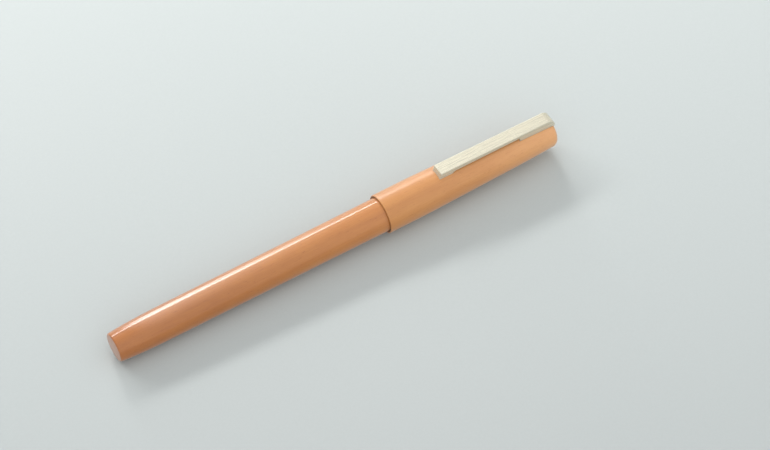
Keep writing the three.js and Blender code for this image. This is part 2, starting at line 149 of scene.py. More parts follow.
def on_axis(point):
    """Whether a point of an outline lies on the pen's axis."""
    return point.y < WELD


def chained(links):
    """The points of a mesh section in order, from an end of the chain or round a closed one."""
    start = next((vert for vert in links if len(links[vert]) == 1), next(iter(links)))
    chain = [start]
    before, here = None, start
    while True:
        onward = [vert for vert in links[here] if vert is not before]
        if not onward or onward[0] is start:
            return chain
        before, here = here, onward[0]
        chain.append(here)


def section(node, side=-1):
    """Outline of a turned CAD node, read where the upright plane through its axis cuts its mesh.

    The first cut, through the level plane, puts points on the axis. The half below the axis is
    read, or with side=1 the half above it.
    """
    mesh = bmesh.new()
    mesh.from_mesh(frame["nodes"][node].data)
    bmesh.ops.remove_doubles(mesh, verts=mesh.verts, dist=WELD)
    centre = Vector((0, 0, AXIS_HEIGHT))
    for normal in (Vector((0, 0, 1)), Vector((0, 1, 0))):
        everything = [*mesh.verts, *mesh.edges, *mesh.faces]
        cut = bmesh.ops.bisect_plane(mesh, geom=everything, plane_co=centre, plane_no=normal)
    links = {}
    for edge in cut["geom_cut"]:
        is_edge = isinstance(edge, bmesh.types.BMEdge)
        if is_edge and all((vert.co.z - AXIS_HEIGHT) * side > -WELD for vert in edge.verts):
            for vert in edge.verts:
                links.setdefault(vert, []).append(edge.other_vert(vert))
    outline = [Vector((vert.co.x, abs(vert.co.z - AXIS_HEIGHT))) for vert in chained(links)]
    mesh.free()
    return without_straight_points(outline)


def without_straight_points(outline):
    """The outline with only those points at which it turns."""
    closed = not on_axis(outline[0])
    kept = []
    for i, point in enumerate(outline):
        before = point - outline[i - 1]
        after = outline[(i + 1) % len(outline)] - point
        is_end = not closed and i in (0, len(outline) - 1)
        if is_end or (before.length > WELD and before.angle(after, 0) > STRAIGHT_TURN):
            kept.append(point)
    return kept


def rounded_corner(point, before, after):
    """Knots of a small arc that takes the place of a sharp corner."""
    cut = min(CORNER_ROUNDING, CORNER_EDGE_SHARE * before.length, CORNER_EDGE_SHARE * after.length)
    start = point - before.normalized() * cut
    end = point + after.normalized() * cut
    knots = []
    for i in range(CORNER_STEPS + 1):
        t = i / CORNER_STEPS
        place = start.lerp(point, t).lerp(point.lerp(end, t), t)
        knots.append((place, (point - start).lerp(end - point, t).normalized()))
    return knots


def curve_between(first, last):
    """Points from one knot up to the next, on a curve that leaves and arrives along their tangents."""
    (start, leaving), (end, arriving) = first, last
    chord = end - start
    if chord.length < WELD:
        return []
    bend = max(leaving.angle(chord), arriving.angle(chord))
    steps = max(1, ceil(bend / STEP_TURN))
    points = []
    for i in range(steps):
        t = i / steps
        straight = start.lerp(end, t)
        pull = (leaving * chord.length - chord) * (t * (1 - t) ** 2)
        points.append(straight + pull - (arriving * chord.length - chord) * (t ** 2 * (1 - t)))
    return points


def softened(outline):
    """The outline with its corners rounded a little and its gentle runs drawn as smooth curves."""
    closed = not on_axis(outline[0])
    knots = []
    for i, point in enumerate(outline):
        before = point - outline[i - 1]
        after = outline[(i + 1) % len(outline)] - point
        if not closed and i == 0:
            knots.append((point, after.normalized()))
        elif not closed and i == len(outline) - 1:
            knots.append((point, before.normalized()))
        elif before.angle(after) > CORNER_TURN:
            knots.extend(rounded_corner(point, before, after))
        else:
            knots.append((point, (before + after).normalized()))
    ends = knots[1:] + knots[:1] if closed else knots[1:]
    points = [point for first, last in zip(knots, ends) for point in curve_between(first, last)]
    return points if closed else points + [knots[-1][0]]


def ring_outline(node):
    """Outline of a ring with a round section, from its CAD box."""
    low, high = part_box(node)
    bend = (high.x - low.x) / 2
    outer = max(point.y for point in section(node))
    centre = Vector((low.x + bend, outer - bend))
    turns = [2 * pi * i / ROUND_STEPS for i in range(ROUND_STEPS)]
    return [centre + Vector((cos(turn), sin(turn))) * bend for turn in turns]


def ball_outline(node):
    """Outline of a ball on the axis, from its CAD box."""
    low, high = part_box(node)
    radius = (high.x - low.x) / 2
    centre = (high.x + low.x) / 2
    turns = [pi * i / ROUND_STEPS for i in range(ROUND_STEPS + 1)]
    return [Vector((centre - radius * cos(turn), max(0, radius * sin(turn)))) for turn in turns]


# Meshes

def new_object(name, data):
    """A mesh, light or camera as an object in the scene."""
    thing = bpy.data.objects.new(name, data)
    bpy.context.scene.collection.objects.link(thing)
    return thing


def shade_smooth(data, sharp):
    """Smooth shading with hard edges only where the surface turns by more than an angle."""
    data.polygons.foreach_set("use_smooth", [True] * len(data.polygons))
    data.set_sharp_from_angle(angle=sharp)


def finished(mesh, name, sharp=CORNER_TURN):
    """An object of a closed bmesh with its normals outwards and its gentle edges smooth."""
    bmesh.ops.recalc_face_normals(mesh, faces=mesh.faces)
    data = bpy.data.meshes.new(name)
    mesh.to_mesh(data)
    mesh.free()
    shade_smooth(data, sharp)
    return new_object(name, data)


def ring_of(mesh, point, segments):
    """The vertices that a point of an outline makes round the axis, or the one on the axis."""
    if on_axis(point):
        return [mesh.verts.new((point.x, 0, AXIS_HEIGHT))] * segments
    ring = []
    for i in range(segments):
        angle = 2 * pi * i / segments
        height = AXIS_HEIGHT - point.y * cos(angle)
        ring.append(mesh.verts.new((point.x, point.y * sin(angle), height)))
    return ring


def bridge(mesh, first, last):
    """Faces between two rings, with three corners where one ring is a point on the axis."""
    for i in range(len(first)):
        j = (i + 1) % len(first)
        corners = list(dict.fromkeys((first[i], first[j], last[j], last[i])))
        if len(corners) > 2:
            mesh.faces.new(corners)


def turned(name, outline, segments=SEGMENTS):
    """A solid turned round the pen's axis, from an outline that ends on the axis or closes on itself."""
    mesh = bmesh.new()
    rings = [ring_of(mesh, point, segments) for point in outline]
    for first, last in zip(rings, rings[1:]):
        bridge(mesh, first, last)
    if not on_axis(outline[0]):
        bridge(mesh, rings[-1], rings[0])
    return finished(mesh, name)


def block(low, high):
    """A cutter or leg between two corners."""
    mesh = bmesh.new()
    bmesh.ops.create_cube(mesh, size=1)
    size = high - low
    place = Matrix.Translation((low + high) / 2) @ Matrix.Diagonal((*size, 1))
    bmesh.ops.transform(mesh, matrix=place, verts=mesh.verts)
    return finished(mesh, "block")


def settle(piece):
    """Takes what the modifiers make as the piece's own mesh."""
    shape = piece.evaluated_get(bpy.context.evaluated_depsgraph_get())
    mesh = bpy.data.meshes.new_from_object(shape)
    piece.modifiers.clear()
    piece.data = mesh


def combined(piece, other, operation):
    """Joins another solid to a piece or cuts it out, and takes the other away."""
    modifier = piece.modifiers.new("shape", "BOOLEAN")
    modifier.operation = operation
    modifier.solver = "EXACT"
    modifier.object = other
    settle(piece)
    bpy.data.objects.remove(other)


def weighted(piece):
    """Flat and gently curved faces keep their own normals beside the small roundings."""
    shade_smooth(piece.data, CORNER_TURN)
    modifier = piece.modifiers.new("normals", "WEIGHTED_NORMAL")
    modifier.keep_sharp = True
    modifier.weight = FLAT_FACE_WEIGHT
    settle(piece)


# Thread, spring and ring

def thread_shape(phase):
    """Depth of a thread's groove, from 0 on the flat crest to 1 on the flat root."""
    return min(1, max(0, (abs(2 * phase - 1) - THREAD_FLAT) / (1 - 2 * THREAD_FLAT)))


def threaded_outline(outline, radius, start, end):
    """The outline with close rows of points where the thread is cut."""
    rows = ceil((end - start) / THREAD_PITCH * THREAD_ROWS_PER_PITCH)
    points = []
    for i, point in enumerate(outline):
        points.append(point)
        following = outline[(i + 1) % len(outline)]
        on_thread = abs(point.y - radius) < WELD and abs(following.y - radius) < WELD
        if on_thread and abs(following.x - point.x) > (end - start) / 2:
            points.extend(point.lerp(following, row / rows) for row in range(1, rows))
    return points


def cut_thread(piece, radius, start, end, direction):
    """Moves the rows at the thread's radius in or out along a helix that fades at both ends."""
    for vert in piece.data.vertices:
        across = Vector((0, vert.co.y, vert.co.z - AXIS_HEIGHT))
        if abs(across.length - radius) > 2 * WELD or not start < vert.co.x < end:
            continue
        fade = min(1, (vert.co.x - start) / THREAD_RUN_OUT, (end - vert.co.x) / THREAD_RUN_OUT)
        turn = Vector((0, 1)).angle_signed(Vector((across.y, across.z)), 0) / (2 * pi)
        phase = ((vert.co.x - start) / THREAD_PITCH + turn) % 1
        vert.co += across.normalized() * direction * THREAD_DEPTH * fade * thread_shape(phase)


def long_cylinders(outline):
    """Radius, start and end of each cylinder in an outline that is long enough for the thread."""
    cylinders = []
    for i, point in enumerate(outline):
        following = outline[(i + 1) % len(outline)]
        low, high = sorted((point.x, following.x))
        if abs(point.y - following.y) < WELD and high - low > THREAD_LEAST_RUN:
            cylinders.append((point.y, low, high))
    return cylinders


def threaded(name, node, direction):
    """A turned piece with a helical groove, cut inwards from its outside or outwards from its bore."""
    outline = section(node)
    cylinders = long_cylinders(outline)
    radii = sorted({round(radius, RADIUS_DIGITS) for radius, low, high in cylinders})
    outside, bore = radii[-1], radii[-2]
    thread = outside if direction == INWARDS else bore
    start, end = next((low, high) for radius, low, high in cylinders if abs(radius - thread) < WELD)
    outline = threaded_outline(softened(outline), thread, start, end)
    piece = turned(name, outline, SMALL_SEGMENTS)
    cut_thread(piece, thread, start, end, direction)
    return piece


def wire_ring(mesh, centre, outward, wire):
    """The vertices round the spring's wire at one place of the coil."""
    ring = []
    for i in range(SPRING_SIDES):
        turn = 2 * pi * i / SPRING_SIDES
        sideways = Vector((wire * sin(turn), 0, 0))
        ring.append(mesh.verts.new(centre + outward * wire * cos(turn) + sideways))
    return ring


def spring():
    """The refill's spring as a fine coil with closed ends."""
    low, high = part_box("refill_spring")
    wire = SPRING_WIRE / 2
    radius = high.z - AXIS_HEIGHT - wire
    mesh = bmesh.new()
    rings = []
    count = SPRING_TURNS * SPRING_STEPS
    for i in range(count + 1):
        angle = 2 * pi * SPRING_TURNS * i / count
        place = low.x + wire + (high.x - low.x - 2 * wire) * i / count
        outward = Vector((0, sin(angle), cos(angle)))
        centre = Vector((place, 0, AXIS_HEIGHT)) + outward * radius
        rings.append(wire_ring(mesh, centre, outward, wire))
    for first, last in zip(rings, rings[1:]):
        bridge(mesh, first, last)
    mesh.faces.new(rings[0])
    mesh.faces.new(reversed(rings[-1]))
    return finished(mesh, "fine_refill_spring", SPRING_EDGE_TURN)


def snap_ring():
    """The snap ring, whose outline is read above the axis because its split is below."""
    ring = turned("fine_snap_ring", softened(section("snap_ring", side=1)))
    low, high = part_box("snap_ring")
    split = block(
        Vector((low.x - CUTTER_MARGIN, -RING_SPLIT / 2, low.z - CUTTER_MARGIN)),
        Vector((high.x + CUTTER_MARGIN, RING_SPLIT / 2, AXIS_HEIGHT)),
    )
    combined(ring, split, "DIFFERENCE")
    return ring


# Cap and clip

def without_pocket(outline):
    """The cap's outline with the leg's pocket filled, because the pocket is cut after the turning."""
    depth = CLIP_LEG_DROP + INLAY_GAP
    filled = []
    for point in outline:
        in_pocket = abs(point.y - depth) < INLAY_GAP / 2
        filled.append(Vector((point.x, 0)) if in_pocket else point)
    return filled


def cap():
    """The turned wood, with the slot and the pocket in the crown for the clip."""
    wood_body = turned("fine_cap_shell", softened(without_pocket(section("cap_shell"))))
    half_slot = CLIP_WIDTH / 2 + INLAY_GAP
    half_pocket = CLIP_LEG_WIDTH / 2 + INLAY_GAP
    floor = AXIS_HEIGHT + CLIP_ROOT_FLOOR
    slot = block(
        Vector((ROOT_START - INLAY_GAP, -half_slot, floor - INLAY_GAP)),
        Vector((PEN_END + CUTTER_MARGIN, half_slot, AXIS_HEIGHT + CLIP_FREE_HEIGHT)),
    )
    pocket = block(
        Vector((LEG_START - INLAY_GAP, -half_pocket, AXIS_HEIGHT - CLIP_LEG_DROP - INLAY_GAP)),
        Vector((PEN_END + CUTTER_MARGIN, half_pocket, floor)),
    )
    combined(wood_body, slot, "DIFFERENCE")
    combined(wood_body, pocket, "DIFFERENCE")
    return wood_body


def arc(centre, radius, from_degrees, to_degrees, steps):
    """Points of an arc in the clip's side view."""
    points = []
    for i in range(steps + 1):
        angle = radians(from_degrees + (to_degrees - from_degrees) * i / steps)
        points.append((centre[0] + radius * cos(angle), centre[1] + radius * sin(angle)))
    return points


def clip_side():
    """Side view of the clip: places along the pen and heights over its axis."""
    foot_end = CLIP_START + CLIP_FOOT_LENGTH
    foot_floor = CLIP_UNDERSIDE - CLIP_FOOT_DEPTH
    fillet = (ROOT_START - CLIP_ROOT_FILLET, CLIP_UNDERSIDE - CLIP_ROOT_FILLET)
    rounding = (PEN_END - CLIP_END_ROUNDING, CLIP_CROWN_HEIGHT - CLIP_END_ROUNDING)
    return [
        (CLIP_START, foot_floor),
        (foot_end, foot_floor),
        (foot_end + CLIP_FOOT_RAMP, CLIP_UNDERSIDE),
        *arc(fillet, CLIP_ROOT_FILLET, 90, 0, CLIP_FILLET_STEPS),
        (ROOT_START, CLIP_ROOT_FLOOR),
        (PEN_END, CLIP_ROOT_FLOOR),
        *arc(rounding, CLIP_END_ROUNDING, 0, 90, CLIP_END_STEPS),
        (CLIP_START + CLIP_FREE_LEAN, CLIP_FREE_HEIGHT),
    ]


def bevel_clip(bar):
    """Fine roundings on the long and short edges of the clip's bar."""
    modifier = bar.modifiers.new("edges", "BEVEL")
    modifier.width = CLIP_BEVEL
    modifier.segments = CLIP_BEVEL_STEPS
    modifier.limit_method = "ANGLE"
    modifier.angle_limit = CLIP_BEVEL_TURN
    settle(bar)


def clip_bar():
    """The clip's side view, drawn out to its width."""
    mesh = bmesh.new()
    near = [mesh.verts.new((x, -CLIP_WIDTH / 2, AXIS_HEIGHT + z)) for x, z in clip_side()]
    side = mesh.faces.new(near)
    sweep = bmesh.ops.extrude_face_region(mesh, geom=[side])["geom"]
    far = [item for item in sweep if isinstance(item, bmesh.types.BMVert)]
    bmesh.ops.translate(mesh, verts=far, vec=(0, CLIP_WIDTH, 0))
    bar = finished(mesh, "fine_clip")
    bevel_clip(bar)
    return bar


def clip_leg():
    """The leg in the crown, which reaches a little way up into the bar."""
    return block(
        Vector((LEG_START, -CLIP_LEG_WIDTH / 2, AXIS_HEIGHT - CLIP_LEG_DROP)),
        Vector((PEN_END, CLIP_LEG_WIDTH / 2, AXIS_HEIGHT + CLIP_ROOT_FLOOR + CLIP_BEVEL)),
    )


def cap_radius_at(place):
    """The cap's radius at a place along it, from the outline of its wood."""
    outline = softened(section("cap_shell"))
    radii = []
    for first, last in zip(outline, outline[1:]):
        if min(first.x, last.x) <= place <= max(first.x, last.x) and first.x != last.x:
            share = (place - first.x) / (last.x - first.x)
            radii.append(first.y + (last.y - first.y) * share)
    return max(radii)


def saddle():
    """A cutter a little wider than the cap, which hollows the clip's foot to sit on the wood."""
    start = CLIP_START - CUTTER_MARGIN
    end = CLIP_START + CLIP_FOOT_LENGTH + CLIP_FOOT_RAMP
    start_radius = cap_radius_at(CLIP_START) + SADDLE_GAP
    end_radius = cap_radius_at(end) + SADDLE_GAP
    return turned("saddle", [
        Vector((start, 0)),
        Vector((start, start_radius)),
        Vector((CLIP_START, start_radius)),
        Vector((end, end_radius)),
        Vector((end, 0)),
    ])


def screw_hole():
    """A cutter for the hole in the leg that takes the clip's screw."""
    start = LEG_START - CUTTER_MARGIN
    end = LEG_START + SCREW_HOLE_DEPTH
    return turned("hole", [
        Vector((start, 0)),
        Vector((start, SCREW_HOLE_RADIUS)),
        Vector((end, SCREW_HOLE_RADIUS)),
        Vector((end, 0)),
    ], SMALL_SEGMENTS)


def clip():
    """A bar with an undercut finger, a saddle on its foot and a leg sunk in the crown."""
    bar = clip_bar()
    combined(bar, clip_leg(), "UNION")
    combined(bar, saddle(), "DIFFERENCE")
    combined(bar, screw_hole(), "DIFFERENCE")
    return bar


# Materials. Tones are screen colours of 0 to 255, cells are sizes of noise along X, Y and Z, and a
# strength is the share of a pattern that shows.

WHITE = (1, 1, 1, 1)
NOISE_RANGE = (0.3, 0.7)

WOOD_SURFACE = {
    "Roughness": 0.55,
    "Specular IOR Level": 0.45,
    "Coat Weight": 0.7,
    "Coat IOR": 1.45,
    "Sheen Weight": 0.25,
    "Sheen Roughness": 0.4,
}
# Tones along the barrel and the cap from start to end: partly the woods' own tones, and partly painted
# light that makes each piece lighter towards the crown
BARREL_TONES_AND_PAINTED_LIGHT = ((159, 93, 33), (162, 97, 34), (172, 107, 43), (180, 114, 53))
CAP_TONES_AND_PAINTED_LIGHT = ((184, 121, 59), (193, 132, 74), (213, 155, 101))
VEIN_DARK = (0.30, 0.27, 0.24, 1)
VEIN_PALE = (0.70, 0.72, 0.74, 1)
FIBRE_CELL = (9 * MM, 0.25 * MM, 0.25 * MM)
FIBRE_STRENGTH = 0.22
FIBRE_DEPTH = 0.01 * MM
STREAK_CELL = (45 * MM, 1.6 * MM, 3.2 * MM)
STREAK_STRENGTH = 0.16
MOTTLE_CELL = (6 * MM, 4 * MM, 4 * MM)
MOTTLE_STRENGTH = 0.12
PORE_CELL = (1.6 * MM, 0.16 * MM, 0.16 * MM)
PORE_RANGE = (0.28, 0.36)
PORE_TONE = (196, 168, 148)
PORE_STRENGTH = 0.5

LENGTHWISE_CELL = (14 * MM, 0.12 * MM, 0.12 * MM)
TURNED_CELL = (0.12 * MM, 6 * MM, 6 * MM)
FINE_TURNED_CELL = (0.1 * MM, 6 * MM, 6 * MM)
STEEL_CELL = (0.12 * MM, 5 * MM, 5 * MM)
METAL_CLOUD_CELL = (8 * MM, 5 * MM, 5 * MM)
LINE_SHADE = 0.92
LINE_DEPTH = 0.004 * MM
LINE_GLOSS_SPREAD = 0.2

MOULD_CLOUD_CELL = (4 * MM, 4 * MM, 4 * MM)
MOULD_SHADE = 0.9
MOULD_GRAIN_DEPTH = 0.008 * MM
MOULD_GLOSS_SPREAD = 0.15

# The curve between the light of a colour and its tone on a screen
WHITE_TONE = 255
CURVE_OFFSET = 0.055
CURVE_POWER = 2.4

# Sockets of the Mix node that carry colours, which share their names with its other sockets
MIX_FIRST = 6
MIX_SECOND = 7
MIX_RESULT = 2


def linear(red, green, blue):
    """A colour as Blender wants it, from its tones on a screen."""
    shares = [tone / WHITE_TONE for tone in (red, green, blue)]
    return (*[((share + CURVE_OFFSET) / (1 + CURVE_OFFSET)) ** CURVE_POWER for share in shares], 1)


class Nodes:
    """A node tree, with short ways to add to it."""

    def __init__(self, tree, coordinate):
        self.nodes = tree.nodes
        self.links = tree.links
        self.place = self.nodes.new("ShaderNodeTexCoord").outputs[coordinate]
        split = self.nodes.new("ShaderNodeSeparateXYZ")
        self.links.new(self.place, split.inputs["Vector"])
        self.parts = split.outputs

    def feed(self, socket, value):
        """Links a node's output to an input, or sets the input to a plain value."""
        if isinstance(value, bpy.types.NodeSocket):
            self.links.new(value, socket)
        else:
            socket.default_value = value

    def remap(self, value, given, wanted, kind="LINEAR"):
        """Carries a value from one range to another, each a pair of its ends."""
        node = self.nodes.new("ShaderNodeMapRange")
        node.interpolation_type = kind
        names = ("From Min", "From Max", "To Min", "To Max")
        for name, number in zip(names, (*given, *wanted)):
            node.inputs[name].default_value = number
        self.links.new(value, node.inputs["Value"])
        return node.outputs["Result"]

    def fade(self, value, given, wanted):
        """As remap, but leaving and arriving gently."""
        return self.remap(value, given, wanted, "SMOOTHSTEP")

    def maths(self, operation, first, second=0):
        """A sum, product or the like of one or two values."""
        node = self.nodes.new("ShaderNodeMath")
        node.operation = operation
        self.feed(node.inputs[0], first)
        self.feed(node.inputs[1], second)
        return node.outputs["Value"]


class Finish(Nodes):
    """A node material, with short ways to add what its surface needs."""

    def __init__(self, name, settings):
        self.material = bpy.data.materials.new(name)
        self.material.use_nodes = True
        super().__init__(self.material.node_tree, "Object")
        self.shader = self.nodes["Principled BSDF"]
        for socket, value in settings.items():
            self.shader.inputs[socket].default_value = value

    def noise(self, cell, detail=2, roughness=0.55, distortion=0):
        """Noise with cells of the given size along X, Y and Z."""
        mapping = self.nodes.new("ShaderNodeMapping")
        mapping.inputs["Scale"].default_value = [1 / size for size in cell]
        self.links.new(self.place, mapping.inputs["Vector"])
        noise = self.nodes.new("ShaderNodeTexNoise")
        noise.inputs["Scale"].default_value = 1
        noise.inputs["Detail"].default_value = detail
        noise.inputs["Roughness"].default_value = roughness
        noise.inputs["Distortion"].default_value = distortion
        self.links.new(mapping.outputs["Vector"], noise.inputs["Vector"])
        return noise.outputs["Fac"]

    def along(self, axis, start, end):
        """0 to 1 between two places along an axis."""
        return self.remap(self.parts[axis], (start, end), (0, 1))

    def ramp(self, value, places, colours):
        """A colour at each place of the value, and a blend between them."""
        node = self.nodes.new("ShaderNodeValToRGB")
        stops = node.color_ramp.elements
        while len(stops) < len(places):
            stops.new(position=0.5)
        for stop, place, colour in zip(stops, places, colours):
            stop.position = place
            stop.color = colour
        self.links.new(value, node.inputs["Fac"])
        return node.outputs["Color"]

    def mix(self, factor, first, second, kind="MIX"):
        """Two colours mixed in one of the ways of the Mix node."""
        node = self.nodes.new("ShaderNodeMix")
        node.data_type = "RGBA"
        node.blend_type = kind
        self.feed(node.inputs["Factor"], factor)
        self.feed(node.inputs[MIX_FIRST], first)
        self.feed(node.inputs[MIX_SECOND], second)
        return node.outputs[MIX_RESULT]

    def veined(self, ground, pattern, strength):
        """Darkens and warms the ground in the pattern's low places, and lightens it in its high ones."""
        veins = self.ramp(pattern, NOISE_RANGE, (VEIN_DARK, VEIN_PALE))
        return self.mix(strength, ground, veins, "SOFT_LIGHT")

    def bump(self, height, depth, strength):
        """Fine relief that follows a pattern, without change to the mesh."""
        node = self.nodes.new("ShaderNodeBump")
        node.inputs["Strength"].default_value = strength
        node.inputs["Distance"].default_value = depth
        self.links.new(height, node.inputs["Height"])
        self.links.new(node.outputs["Normal"], self.shader.inputs["Normal"])

    def colour(self, value):
        """Sets the surface's own colour."""
        self.feed(self.shader.inputs["Base Color"], value)

    def roughness(self, pattern, low, high):
        """Roughness from the pattern's low places to its high ones."""
        self.links.new(self.remap(pattern, NOISE_RANGE, (low, high)), self.shader.inputs["Roughness"])


def lacquered_wood(name, start, end, tones, coat_roughness):
    """Fine even-grained fruitwood with faint streaks and flecks under a clear gloss lacquer. Its tone
    runs along the piece: partly the wood's own change, and partly painted light that makes it lighter
    towards the crown.
    """
    finish = Finish(name, {**WOOD_SURFACE, "Coat Roughness": coat_roughness})
    places = [i / (len(tones) - 1) for i in range(len(tones))]
    # Painted light in part: the ground tone grows lighter along the piece
    ground = finish.ramp(finish.along("X", start, end), places, [linear(*tone) for tone in tones])
    fibres = finish.noise(FIBRE_CELL, detail=5, roughness=0.65)
    streaks = finish.noise(STREAK_CELL, distortion=0.4)
    mottle = finish.noise(MOTTLE_CELL)
    pores = finish.noise(PORE_CELL)
    wood = finish.veined(ground, fibres, FIBRE_STRENGTH)
    wood = finish.veined(wood, streaks, STREAK_STRENGTH)
    wood = finish.veined(wood, mottle, MOTTLE_STRENGTH)
    flecks = finish.ramp(pores, PORE_RANGE, (linear(*PORE_TONE), WHITE))
    finish.colour(finish.mix(PORE_STRENGTH, wood, flecks, "MULTIPLY"))
    finish.bump(fibres, FIBRE_DEPTH, strength=0.2)
    return finish.material


def brushed_metal(name, tone, cell, roughness, metallic=1.0):
    """Metal with fine lines along the long side of its cell; a satin coat makes it less metallic."""
    finish = Finish(name, {"Metallic": metallic})
    lines = finish.noise(cell, detail=4, roughness=0.7)
    cloud = finish.noise(METAL_CLOUD_CELL)
    light = linear(*tone)
    dark = linear(*[value * LINE_SHADE for value in tone])
    finish.colour(finish.mix(cloud, finish.ramp(lines, NOISE_RANGE, (dark, light)), light))
    finish.roughness(lines, roughness * (1 + LINE_GLOSS_SPREAD), roughness * (1 - LINE_GLOSS_SPREAD))
    finish.bump(lines, LINE_DEPTH, strength=0.35)
    return finish.material


def moulded(name, tone, roughness, grain):
    """Plastic or rubber with a fine grain and faint cloudiness."""
    finish = Finish(name, {})
    cells = finish.noise((grain, grain, grain))
    cloud = finish.noise(MOULD_CLOUD_CELL)
    light = linear(*tone)
    dark = linear(*[value * MOULD_SHADE for value in tone])
    finish.colour(finish.ramp(cloud, NOISE_RANGE, (dark, light)))
    finish.roughness(cells, roughness * (1 - MOULD_GLOSS_SPREAD), roughness * (1 + MOULD_GLOSS_SPREAD))
    finish.bump(cells, MOULD_GRAIN_DEPTH, strength=0.3)
    return finish.material


FINISHES = {
    "barrel_wood": lacquered_wood(
        "barrel_wood_finish", PEN_START, CAP_MOUTH, BARREL_TONES_AND_PAINTED_LIGHT, coat_roughness=0.03),
    "cap_wood": lacquered_wood(
        "cap_wood_finish", CAP_MOUTH, PEN_END, CAP_TONES_AND_PAINTED_LIGHT, coat_roughness=0.32),
    "clip_metal": brushed_metal(
        "clip_metal_finish", (205, 199, 179), LENGTHWISE_CELL, roughness=0.28, metallic=0.3),
    "nose_metal": brushed_metal(
        "nose_metal_finish", (222, 216, 200), FINE_TURNED_CELL, roughness=0.25),
    "brass": brushed_metal("brass_finish", (214, 178, 112), TURNED_CELL, roughness=0.3),
    "steel": brushed_metal("steel_finish", (196, 198, 202), STEEL_CELL, roughness=0.22),
    "rubber": moulded("rubber_finish", (30, 30, 32), roughness=0.8, grain=0.15 * MM),
    "black_plastic": moulded(
        "black_plastic_finish", (38, 38, 41), roughness=0.42, grain=0.1 * MM),
    "refill_plastic": moulded(
        "refill_plastic_finish", (44, 47, 58), roughness=0.25, grain=0.3 * MM),
    "white_plastic": moulded(
        "white_plastic_finish", (232, 229, 221), roughness=0.45, grain=0.3 * MM),
}


# The pen: each fine piece in the place of its CAD node

slot_of = {row["node"]: row["material_slot"] for row in frame["record"]["subparts"]}
body_of = {}
for body, nodes in frame["record"]["behaviour"]["bodies"].items():
    body_of.update(dict.fromkeys(nodes, body))


def paint(thing, node):
    """Gives a piece the finish of its node, and no other."""
    thing.data.materials.clear()
    thing.data.materials.append(FINISHES[slot_of[node]])


def dress(piece, node):
    """Puts a fine piece in the place of a CAD node, with its finish and on its body."""
    weighted(piece)
    paint(piece, node)
    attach(piece, body_of[node])
    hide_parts(node)


WIDE_TURNED = ("barrel_shell", "grip", "cap_liner", "inner_cap")
SLIM_TURNED = (
    "nose_cone", "refill_nose", "writing_point", "refill_tube", "refill_plug",
    "barrel_tube", "spring_seat",
)

for node in WIDE_TURNED:
    dress(turned("fine_" + node, softened(section(node))), node)
for node in SLIM_TURNED:
    dress(turned("fine_" + node, softened(section(node)), SMALL_SEGMENTS), node)
dress(turned("fine_section_seal", ring_outline("section_seal"), SMALL_SEGMENTS), "section_seal")
dress(turned("fine_tip_ball", ball_outline("tip_ball"), SMALL_SEGMENTS), "tip_ball")
dress(threaded("fine_thread_bush", "thread_bush", INWARDS), "thread_bush")
dress(threaded("fine_barrel_liner", "barrel_liner", OUTWARDS), "barrel_liner")
dress(snap_ring(), "snap_ring")
dress(cap(), "cap_shell")
dress(clip(), "clip")
refill_spring = spring()
dress(refill_spring, "refill_spring")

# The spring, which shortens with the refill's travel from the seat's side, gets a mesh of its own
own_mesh(refill_spring)

# The CAD nodes have the same finishes, for the one that shows as it is: the clip's screw
for node, thing in frame["nodes"].items():
    paint(thing, node)


# Floor: a pale table top with painted shade that darkens it across a band through the pen's middle,
# towards the camera. It leans a little, because the pen rests on its cap's rim and on the underside
# of the barrel's end. The lean turns with the band of painted shade, which moves the table by less than
# 0.1 mm under the pen.
REST_FRONT = CAP_MOUTH + 0.2 * MM
REST_BACK = -57.5 * MM
REST_RISE = 1.0 * MM
FLOOR_SIZE = 6.0
FLOOR_FADE_REACH = 0.15
FLOOR_FADE_TURN = radians(-25)
FLOOR_SURFACE = {"Roughness": 0.55, "Specular IOR Level": 0.1}
# Painted shade: the table's tone darkens from the far tone to the near one across the band
FLOOR_NEAR_SHADED_TONE = (160, 164, 164)
FLOOR_FAR_LIT_TONE = (196, 201, 200)
FLOOR_CLOUD_CELL = (0.35, 0.35, 0.35)
FLOOR_CLOUD_TONE = (240, 244, 244)
FLOOR_CLOUD_STRENGTH = 0.3
FLOOR_SPECK_CELL = (0.6 * MM, 0.6 * MM, 0.6 * MM)
FLOOR_SPECK_TONE = (250, 250, 250)
FLOOR_SPECK_STRENGTH = 0.5


def floor_material():
    """A pale matt table top with painted shade that darkens it a little towards the camera."""
    finish = Finish("table_finish", FLOOR_SURFACE)
    # Painted shade: darker towards the camera
    ground = finish.ramp(
        finish.along("Y", -FLOOR_FADE_REACH, FLOOR_FADE_REACH),
        (0, 1), (linear(*FLOOR_NEAR_SHADED_TONE), linear(*FLOOR_FAR_LIT_TONE)),
    )
    cloud = finish.noise(FLOOR_CLOUD_CELL)
    specks = finish.noise(FLOOR_SPECK_CELL)
    cloudy = finish.ramp(cloud, NOISE_RANGE, (linear(*FLOOR_CLOUD_TONE), WHITE))
    specked = finish.ramp(specks, NOISE_RANGE, (linear(*FLOOR_SPECK_TONE), WHITE))
    ground = finish.mix(FLOOR_CLOUD_STRENGTH, ground, cloudy, "MULTIPLY")
    finish.colour(finish.mix(FLOOR_SPECK_STRENGTH, ground, specked, "MULTIPLY"))
    return finish.material


def table():
    """The leaning table top."""
    mesh = bmesh.new()
    bmesh.ops.create_grid(mesh, x_segments=1, y_segments=1, size=FLOOR_SIZE / 2)
    slope = REST_RISE / (REST_FRONT - REST_BACK)
    lean = Matrix.Rotation(slope, 4, "Y")
    bmesh.ops.transform(mesh, matrix=Matrix.Translation((REST_FRONT, 0, 0)) @ lean, verts=mesh.verts)
    data = bpy.data.meshes.new("table")
    mesh.to_mesh(data)
    mesh.free()
    data.materials.append(floor_material())
    floor = new_object("table", data)
    floor.rotation_euler.z = FLOOR_FADE_TURN


table()


